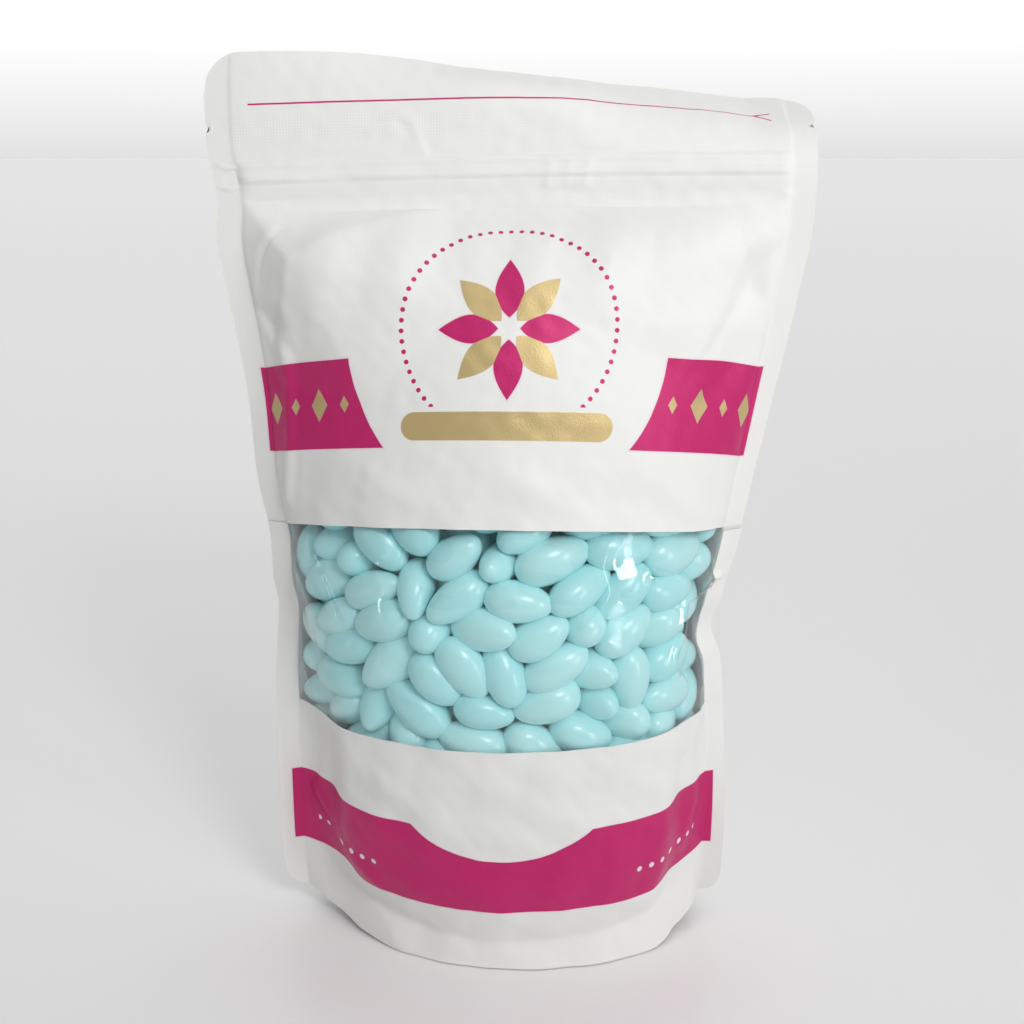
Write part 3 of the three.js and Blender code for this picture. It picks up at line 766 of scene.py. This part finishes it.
def start_almonds(rng):
    """Sticks on a loose lattice, mostly lying across the pouch."""
    counts = (7, 7, 17)
    index = np.indices(counts).reshape(3, -1).T
    lowest = (-LATTICE[0] * (counts[0] - 1) / 2, -LATTICE[1] * (counts[1] - 1) / 2, 10)
    centres = lowest + index * LATTICE
    centres = centres[np.abs(centres[:, 1]) < wall(centres) - 4]
    count = len(centres)
    centres += rng.uniform(-1, 1, (count, 3)) * (5, 3, 4)
    turn = rng.normal(0, 0.6, count) + np.where(rng.random(count) < 0.25, 1.3, 0)
    tilt = rng.normal(0, 0.35, count)
    axis = np.stack([np.cos(turn) * np.cos(tilt), np.sin(tilt), np.sin(turn) * np.cos(tilt)], -1)
    axis *= np.where(rng.random(count) < 0.5, -1, 1)[:, None]
    return centres, axis


def settle_almonds(seed=20011, passes=260):
    """The centres, axes and sizes of all almonds, at rest against each other and the panels."""
    rng = np.random.default_rng(seed)
    centres, axis = start_almonds(rng)
    count = len(centres)
    size = rng.normal(1, 0.045, count).clip(0.9, 1.1)
    stick = STICK * size
    radii = BALL_RADII * size[:, None]
    ends = np.stack([centres - axis * stick[:, None] / 2, centres + axis * stick[:, None] / 2], 1)
    shares = BALL_SHARES[None, :, None]

    def balls_along():
        return ends[:, :1] * (1 - shares) + ends[:, 1:] * shares

    for step in range(passes):
        if step < passes * SINKING_SHARE:
            ends[..., 2] -= SINK
            ends[..., 1] += SPREAD * np.sign(ends[..., 1])
            ends[..., 0] += SPREAD * ends[..., 0] / SPREAD_REACH
        if step % 5 == 0:
            middles = ends.mean(1)
            apart = np.linalg.norm(middles[:, None] - middles[None], axis=-1)
            first, second = np.nonzero(np.triu(apart < REACH, 1))
        balls = balls_along()
        offset = balls[second][:, None, :, :] - balls[first][:, :, None, :]
        distance = np.linalg.norm(offset, axis=-1)
        overlap = np.maximum(radii[first][:, :, None] + radii[second][:, None, :] - distance, 0)
        push = offset * (0.5 * overlap / np.maximum(distance, 1e-3))[..., None]
        moves = np.zeros_like(ends)
        for end, share in ((0, 1 - BALL_SHARES), (1, BALL_SHARES)):
            np.add.at(moves[:, end], first, -(push * share[None, :, None, None]).sum((1, 2)))
            np.add.at(moves[:, end], second, (push * share[None, None, :, None]).sum((1, 2)))
        ends += PUSHED_APART * moves
        held = keep_inside(balls_along(), radii)
        for end, share in ((0, 1 - shares), (1, shares)):
            ends[:, end] += (held * np.minimum(2 * share, 1)).sum(1) * PUSHED_IN
        along = ends[:, 1] - ends[:, 0]
        length = np.linalg.norm(along, axis=-1, keepdims=True)
        fix = along * (length - stick[:, None]) / (2 * length)
        ends[:, 0] += fix
        ends[:, 1] -= fix
    along = ends[:, 1] - ends[:, 0]
    return ends.mean(1), along / np.linalg.norm(along, axis=-1, keepdims=True), size


def almond_form(rng, size):
    """One almond lying along X, broader at one end, flattened and a little bent."""
    length = ALMOND_LENGTH * size * rng.uniform(0.9, 1.08)
    width = ALMOND_WIDTH * size * rng.uniform(0.95, 1.06)
    thickness = ALMOND_THICKNESS * size * rng.uniform(0.95, 1.06)
    taper = rng.uniform(0.04, 0.2)
    bend = rng.uniform(-0.5, 0.5)
    around = np.linspace(0, 2 * np.pi, ALMOND_SIDES, endpoint=False)
    tilt = np.linspace(0, np.pi, ALMOND_RINGS + 2)[1:-1]
    along = -np.cos(tilt)[:, None]
    girth = np.sin(tilt)[:, None] ** 0.96 * (1 - taper * along)
    lumps = 1 + 0.012 * np.cos(2 * around + rng.uniform(0, 6)) * np.sin(3 * tilt)[:, None]
    x = length / 2 * along * np.ones_like(around)
    y = thickness / 2 * girth * np.sin(around) * lumps
    z = width / 2 * girth * np.cos(around) * lumps + bend * (1 - along**2)
    body = np.stack([x, y, z], -1).reshape(-1, 3)
    tips = np.array([[-length / 2, 0, 0], [length / 2, 0, 0]])
    return np.concatenate([body, tips])


def almond_faces():
    """Quads between the rings of one almond, and triangles from its tips, which are its last points."""
    count = ALMOND_RINGS * ALMOND_SIDES
    index = np.arange(count).reshape(ALMOND_RINGS, ALMOND_SIDES)
    after = np.roll(index, -1, axis=1)
    quads = faces_of(index[:-1], index[1:], after[1:], after[:-1])
    start_cap = faces_of(np.full_like(index[0], count), index[0], after[0])
    end_cap = faces_of(np.full_like(index[0], count + 1), after[-1], index[-1])
    return [*quads.tolist(), *start_cap.tolist(), *end_cap.tolist()]


def frame_along(axis, roll):
    """A rotation that turns X to the axis, and Y near the pouch's depth, rolled a little."""
    depth = np.array([0.0, 1.0, 0.0]) - axis * axis[1]
    if np.linalg.norm(depth) < 0.2:
        depth = np.array([0.0, 0.0, 1.0]) - axis * axis[2]
    depth /= np.linalg.norm(depth)
    third = np.cross(axis, depth)
    turned = depth * math.cos(roll) + third * math.sin(roll)
    return np.stack([axis, turned, np.cross(axis, turned)])


def tucked_in(form):
    """One almond, moved off the panels until no point of it is through them."""
    for _ in range(8):
        moves = keep_inside(form, FILM_CLEARANCE - WALL_CLEARANCE)
        form = form + moves[np.linalg.norm(moves, axis=-1).argmax()]
    return form


def almonds(material):
    """The almonds that can be seen through the window, as one mesh."""
    centres, axes, sizes = settle_almonds()
    rng = np.random.default_rng(77)
    in_front = centres * (1, 0, 1) - (0, 1, 0)
    behind = centres[:, 1] + wall(in_front)
    lowest = WINDOW_LOW - SHOWN_PAST_WINDOW
    highest = np.interp(WINDOW_HIGH, WHOLE, MIDDLES) + SHOWN_PAST_WINDOW
    shown = (behind < SHOWN_DEPTH) & (centres[:, 2] > lowest) & (centres[:, 2] < highest)
    faces_of_one = almond_faces()
    points, faces, tones = [], [], []
    first = 0
    for centre, axis, size in zip(centres[shown], axes[shown], sizes[shown]):
        form = tucked_in(almond_form(rng, size) @ frame_along(axis, rng.normal(0, 0.35)) + centre)
        points.append(form)
        faces += [[corner + first for corner in face] for face in faces_of_one]
        tones += [rng.random()] * len(form)
        first += len(form)
    heap = make_object("sugared_almonds", np.concatenate(points), faces, material, sharp=None)
    tone = heap.data.attributes.new("tone", "FLOAT", "POINT")
    tone.data.foreach_set("value", np.array(tones))
    return heap


def almond_core(material):
    """The inside of the heap, behind the almonds that show, coloured dark as painted shade of the almonds
    deep in it.
    """
    columns = spaced(-CORE_HALF_WIDTH, CORE_HALF_WIDTH, CORE_SPACING)
    rows = spaced(12, FILL_LEVEL - 4, CORE_SPACING)
    u, v = np.meshgrid(columns, rows)
    layers = []
    for side, inset in zip((-1, 1), CORE_INSETS):
        layer = place(u, v, side)
        layer[..., 1] = side * np.maximum(side * layer[..., 1] - inset, 0.5)
        layers.append(layer.reshape(-1, 3))
    return make_object("almond_core", np.concatenate(layers), two_layers(*u.shape).tolist(), material)


# Shader nodes: a field is a number that varies over the print

class Field:
    def __init__(self, tree, socket):
        self.tree = tree
        self.socket = socket

    def math(self, operation, other=None, clamp=False):
        node = self.tree.nodes.new("ShaderNodeMath")
        node.operation = operation
        node.use_clamp = clamp
        self.tree.links.new(self.socket, node.inputs[0])
        if isinstance(other, Field):
            self.tree.links.new(other.socket, node.inputs[1])
        elif other is not None:
            node.inputs[1].default_value = other
        return Field(self.tree, node.outputs[0])

    __add__ = partialmethod(math, "ADD")
    __sub__ = partialmethod(math, "SUBTRACT")
    __mul__ = partialmethod(math, "MULTIPLY")
    __truediv__ = partialmethod(math, "DIVIDE")
    __abs__ = partialmethod(math, "ABSOLUTE")
    least = partialmethod(math, "MINIMUM")
    most = partialmethod(math, "MAXIMUM")

    def __neg__(self):
        return self * -1.0

    def clamped(self, scale=1.0):
        """Scaled, and kept between 0 and 1."""
        return self.math("MULTIPLY", scale, clamp=True)

    def inked(self, soft=0.18):
        """1 where a distance inside an edge is positive, with a soft edge."""
        return (self / soft + 0.5).clamped()


def length_of(a, b):
    return (a * a + b * b).math("SQRT")


def new_material(name):
    material = bpy.data.materials.new(name)
    material.use_nodes = True
    tree = material.node_tree
    tree.nodes.clear()
    output = tree.nodes.new("ShaderNodeOutputMaterial")
    return material, tree, output


def add_node(tree, kind, **inputs):
    node = tree.nodes.new(kind)
    for key, value in inputs.items():
        node.inputs[key.replace("_", " ")].default_value = value
    return node


def solid_material(name, **inputs):
    """A material with one principled shader."""
    material, tree, output = new_material(name)
    shader = add_node(tree, "ShaderNodeBsdfPrincipled", **inputs)
    tree.links.new(shader.outputs[0], output.inputs["Surface"])
    return material, tree, shader


def mix_colors(tree, factor, first, second):
    """A mix of two colours by a field; each is a colour or a socket."""
    node = tree.nodes.new("ShaderNodeMix")
    node.data_type = "RGBA"
    tree.links.new(factor.socket, node.inputs["Factor"])
    for name, color in (("A", first), ("B", second)):
        socket = next(s for s in node.inputs if s.name == name and s.type == "RGBA")
        if isinstance(color, tuple):
            socket.default_value = (*color, 1)
        else:
            tree.links.new(color, socket)
    return next(s for s in node.outputs if s.type == "RGBA")


def noise_field(tree, coords, scale, detail=2.0):
    node = add_node(tree, "ShaderNodeTexNoise", Scale=scale, Detail=detail)
    tree.links.new(coords.outputs["Object"], node.inputs["Vector"])
    return Field(tree, node.outputs["Fac"])


def add_bumps(tree, shader, height, strength, distance):
    bumps = add_node(tree, "ShaderNodeBump", Strength=strength, Distance=distance)
    tree.links.new(height.socket, bumps.inputs["Height"])
    tree.links.new(bumps.outputs[0], shader.inputs["Normal"])


def band_field(u, v, levels, disc, reach):
    """Distance inside a band that a disc is taken out of."""
    inside = (v - levels[0]).least(-v + levels[1]).least(-abs(u) + reach)
    return inside.least(length_of(u - disc[0], v - disc[1]) - disc[2])


def spokes(u, v, count):
    """Polar coordinates folded into equal sectors: along, aside and the sector's number."""
    angle = v.math("ARCTAN2", u) * (count / (2 * math.pi)) + (count + 0.5)
    number = angle.math("FLOOR")
    aside = (angle - number - 0.5) * (2 * math.pi / count)
    radius = length_of(u, v)
    return radius * aside.math("COSINE"), radius * aside.math("SINE"), number


def emblem_fields(u, v):
    """The petals, in magenta and gold by turns, the ring of beads, and the bar below them."""
    emblem_u, emblem_v = u - EMBLEM[0], v - EMBLEM[1]
    along, aside, number = spokes(emblem_u, emblem_v, PETALS)
    run = ((along - PETAL_REACH) / PETAL_LENGTH).least(1.5).most(-1.5)
    petal = (-(run * run) + 1.0) * (-(run * PETAL_TAPER) + 1.0) * PETAL_WIDTH - abs(aside)
    odd = number.math("MODULO", 2.0)
    petal_magenta = petal.least((-odd + 0.5) * 4.0)
    petal_gold = petal.least((odd - 0.5) * 4.0)
    half_length, level, radius = BAR
    bar = -length_of((abs(u) - (half_length - radius)).most(0.0), v - level) + radius
    bead_along, bead_aside, _ = spokes(emblem_u, emblem_v, BEADS)
    bead = (-length_of(bead_along - BEAD_RING, bead_aside) + BEAD_RADIUS).least(-bar - BEAD_GAP)
    return petal_magenta, petal_gold, bead, bar


def cut_line_field(u, v):
    """The thin line above the zip, with a fork at its right end."""
    above, along = v - CUT_LEVEL, u - FORK_START
    line = (-abs(above) + CUT_HALF).least(-abs(u - CUT_MIDDLE) + CUT_REACH)
    fork_up = -abs(above * 0.86 - along * 0.3) + FORK_HALF
    fork_down = -abs(above * 0.8 + along * 0.5) + FORK_HALF
    fork = fork_up.most(fork_down).least(u - (FORK_START - 0.2)).least(-u + FORK_END)
    return line.most(fork)


def diamond_field(u, v):
    """A row of diamonds, large and small in turn."""
    spot = (abs(u) + DIAMOND_SHIFT) / DIAMOND_PITCH
    number = spot.math("FLOOR")
    small = number.math("MODULO", 2.0)
    spot_u = abs((spot - number - 0.5) * DIAMOND_PITCH)
    spot_v = abs(v - DIAMOND_LEVEL)
    return (-(spot_u / DIAMOND_SLIMNESS) - spot_v) + DIAMOND_HALF - small * (DIAMOND_HALF / 2)


def dot_field(u, v):
    """A short row of dots towards each end of the foot band."""
    first = DOT_START - DOT_RADIUS
    dot_u = abs(((abs(u) - first) / DOT_PITCH).math("FRACT") - 0.5) * DOT_PITCH
    dot = -length_of(dot_u, v - DOT_LEVEL) + DOT_RADIUS
    return dot.least(abs(u) - DOT_START).least(-abs(u) + DOT_END)


def print_fields(u, v):
    """Distances inside the print's magenta, the part of it with a halo, its gold and its white dots."""
    mid = band_field(u, v, MID_BAND, MID_DISC, BAND_REACH)
    foot = band_field(u, v, FOOT_BAND, FOOT_DISC, BAND_REACH + 1.5)
    petal_magenta, petal_gold, bead, bar = emblem_fields(u, v)
    diamond = diamond_field(u, v).least(mid - 1.0) * 0.5
    edge = mid.most(foot).most(petal_magenta)
    magenta = edge.most(cut_line_field(u, v)).most(bead)
    gold = petal_gold.most(bar).most(diamond)
    return magenta, edge, gold, dot_field(u, v)


def paper_material(name, printed):
    """White paper-like film with a soft grain, bare or printed with satin and metallic ink."""
    material, tree, shader = solid_material(name, Roughness=0.55, IOR=1.45)
    coords = tree.nodes.new("ShaderNodeTexCoord")
    grain = noise_field(tree, coords, 900.0, 3.0)
    cloud = noise_field(tree, coords, 70.0, 2.0)
    fibre = noise_field(tree, coords, 2600.0, 1.0)
    height = grain * 0.6 + cloud * 0.5 + fibre * 0.25
    if printed:
        split = tree.nodes.new("ShaderNodeSeparateXYZ")
        tree.links.new(coords.outputs["UV"], split.inputs[0])
        u = Field(tree, split.outputs["X"]) * HEIGHT - HALF_WIDTH
        v = Field(tree, split.outputs["Y"]) * HEIGHT
        magenta, edge, gold, dots = print_fields(u, v)
        dots = dots.inked()
        gold = gold.inked()
        magenta = magenta.inked() * (-dots + 1.0) * (-gold + 1.0)
        halo = (edge + 0.55).inked(0.3)
        sparkle = noise_field(tree, coords, 3800.0, 0.0)
        color = mix_colors(tree, halo * 0.5, PAPER, HALO)
        color = mix_colors(tree, magenta, color, MAGENTA)
        color = mix_colors(tree, gold, color, GOLD)
        tree.links.new(color, shader.inputs["Base Color"])
        metallic = magenta * 0.15 + gold * 0.45
        tree.links.new(metallic.socket, shader.inputs["Metallic"])
        roughness = (sparkle - 0.5) * (magenta + gold) * 0.35 - magenta * 0.13 - gold * 0.12 + 0.55
        tree.links.new(roughness.socket, shader.inputs["Roughness"])
        turns = 2 * math.pi / KNURL_PITCH
        knurl = (u * turns).math("COSINE") + (v * turns).math("COSINE")
        where = (-abs(v - KNURL_LEVEL) / 5.0 + 1.0).clamped(3.0)
        height = height + knurl * where * 0.2 + sparkle * (magenta + gold) * 0.9
    else:
        shader.inputs["Base Color"].default_value = (*PAPER, 1)
    add_bumps(tree, shader, height, 0.45, 0.00015)
    return material


def film_material():
    """Clear film: seen straight through, with sharp reflections."""
    material, tree, output = new_material("clear_film_look")
    clear = add_node(tree, "ShaderNodeBsdfTransparent")
    clear.inputs["Color"].default_value = (0.985, 0.99, 0.99, 1)
    gloss = add_node(tree, "ShaderNodeBsdfGlossy", Roughness=0.05)
    layer = add_node(tree, "ShaderNodeLayerWeight", Blend=0.5)
    grazing = Field(tree, layer.outputs["Facing"]).math("POWER", 4.0) * 0.7 + 0.045
    mix = tree.nodes.new("ShaderNodeMixShader")
    tree.links.new(grazing.socket, mix.inputs["Fac"])
    tree.links.new(clear.outputs[0], mix.inputs[1])
    tree.links.new(gloss.outputs[0], mix.inputs[2])
    tree.links.new(mix.outputs[0], output.inputs["Surface"])
    return material


def sugar_material():
    """Smooth hard sugar, pale blue, each almond a little different."""
    coat = {"Coat_Weight": 0.35, "Coat_Roughness": 0.14}
    depth = {"Subsurface_Weight": 0.12, "Subsurface_Radius": (0.4, 0.9, 1.0), "Subsurface_Scale": 0.002}
    material, tree, shader = solid_material("sugar_shell_look", Roughness=0.3, IOR=1.48, **coat, **depth)
    tone = tree.nodes.new("ShaderNodeAttribute")
    tone.attribute_name = "tone"
    pale = Field(tree, tone.outputs["Fac"])
    color = mix_colors(tree, pale, SUGAR_DEEP, SUGAR_PALE)
    tree.links.new(color, shader.inputs["Base Color"])
    coords = tree.nodes.new("ShaderNodeTexCoord")
    add_bumps(tree, shader, noise_field(tree, coords, 420.0), 0.25, 0.0002)
    return material


# Camera, light and floor

def add_camera():
    yaw, pitch = math.radians(CAMERA_YAW), math.radians(CAMERA_PITCH)
    data = bpy.data.cameras.new("camera")
    data.sensor_width = SENSOR
    data.lens = SENSOR * FOCAL_PIXELS / IMAGE_SIDE
    data.shift_x = (IMAGE_SIDE / 2 - PRINCIPAL_POINT[0]) / IMAGE_SIDE
    data.shift_y = (PRINCIPAL_POINT[1] - IMAGE_SIDE / 2) / IMAGE_SIDE
    data.clip_start = 0.01
    camera = bpy.data.objects.new("camera", data)
    level = CAMERA_DISTANCE * math.cos(pitch)
    camera.location = MM * Vector((
        SHIFT[0] - math.sin(yaw) * level,
        SHIFT[1] - math.cos(yaw) * level,
        CAMERA_TARGET + CAMERA_DISTANCE * math.sin(pitch),
    ))
    camera.rotation_euler = (math.pi / 2 - pitch, 0, -yaw)
    bpy.context.collection.objects.link(camera)
    bpy.context.scene.camera = camera


def add_area_light(name, location, size, power, target=(0, 0, 0.14), spread=180):
    data = bpy.data.lights.new(name, "AREA")
    if isinstance(size, tuple):
        data.shape = "RECTANGLE"
        data.size, data.size_y = size
    else:
        data.shape = "DISK"
        data.size = size
    data.energy = power
    data.spread = math.radians(spread)
    light = bpy.data.objects.new(name, data)
    light.location = location
    light.rotation_euler = (Vector(target) - Vector(location)).to_track_quat("-Z", "Y").to_euler()
    bpy.context.collection.objects.link(light)


def add_world():
    """Bright above and behind the pouch, softer in front of it, and softest on the left."""
    world = bpy.data.worlds.new("studio")
    world.use_nodes = True
    tree = world.node_tree
    background = tree.nodes["Background"]
    coords = tree.nodes.new("ShaderNodeTexCoord")
    split = tree.nodes.new("ShaderNodeSeparateXYZ")
    tree.links.new(coords.outputs["Generated"], split.inputs[0])
    x, y, z = (Field(tree, split.outputs[axis]) for axis in "XYZ")
    behind = (y * 2.2 + 0.1).clamped()
    above = (z * 1.4).clamped()
    front = x * WORLD_RIGHT + WORLD_FRONT
    glow = (z * 2.5 + 0.54).clamped() * WORLD_BACK
    level = front + behind * (glow - front)
    strength = level + above * (-level + WORLD_TOP)
    shaded = (-x * 2.4 - 0.95).clamped()
    strength = strength * (-(shaded * WORLD_SHADE) + 1.0)
    tree.links.new(strength.socket, background.inputs["Strength"])
    background.inputs["Color"].default_value = (1.0, 1.0, 1.0, 1)
    bpy.context.scene.world = world


def add_floor():
    """A wide pale disc just under the pouch, far larger than the view."""
    bpy.ops.mesh.primitive_circle_add(vertices=96, radius=40, fill_type="NGON", location=(0, 0, -0.0004))
    floor = bpy.context.object
    floor.name = "floor"
    floor.data.materials.append(solid_material("floor_look", Base_Color=FLOOR, Roughness=0.28)[0])


def build():
    """Every piece of the pack; the parts of the model that they replace are hidden."""
    printed = paper_material("printed_paper_look", printed=True)
    bare = paper_material("bare_paper_look", printed=False)
    sugar = sugar_material()

    upper, lower = flat_grid(window_high, HEIGHT, FINE), flat_grid(0.0, WINDOW_LOW, FINE)
    front_top = panel_sheet("front_panel_top", upper, -1, front_relief, printed)
    front_foot = panel_sheet("front_panel_foot", lower, -1, front_relief, printed)
    strips = []
    for name, span in (("left", (-HALF_WIDTH, -SEAL_EDGE)), ("right", (SEAL_EDGE, HALF_WIDTH))):
        grid = flat_grid(WINDOW_LOW + STRIP_GAP, WINDOW_HIGH - STRIP_GAP, FINE, span)
        strips.append(panel_sheet(f"seal_strip_{name}", grid, -1, film_relief, printed,
                                  outer=HALF_SHEET + STRIP_LIFT, thickness=FILM))
    back = panel_sheet("back_panel", flat_grid(0.0, HEIGHT, COARSE), 1, back_relief, bare)
    bottom = gusset(bare)
    for piece in (front_top, front_foot, *strips, back, bottom):
        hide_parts("pouch")

    window = panel_sheet("clear_window", flat_grid(WINDOW_LOW, window_high, FINE), -1, film_relief,
                         film_material(), outer=HALF_SHEET - FILM_SINK, thickness=FILM)
    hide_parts("window_film")

    heap = almonds(sugar)
    # The core's dark colour is painted shade of the almonds deep in the heap
    core = almond_core(solid_material("sugar_painted_shade_look", Base_Color=SUGAR_PAINTED_SHADE, Roughness=0.6)[0])
    for piece in (heap, core):
        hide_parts("almonds")


build()
add_camera()
add_area_light("key", (0.36, -0.66, 0.62), 0.3, 0.42, LIT_PANEL, NARROW)
add_area_light("front", (0.0, -1.0, 1.0), 0.4, 0.07, LIT_PANEL, NARROW)
add_area_light("strip_right", (1.0, -0.8, 0.24), (0.18, 0.46), 2.6)
add_area_light("strip_left", (-1.1, -0.7, 0.3), (0.04, 0.5), 0.45)
add_world()
add_floor()
bpy.context.scene.view_settings.view_transform = "Standard"
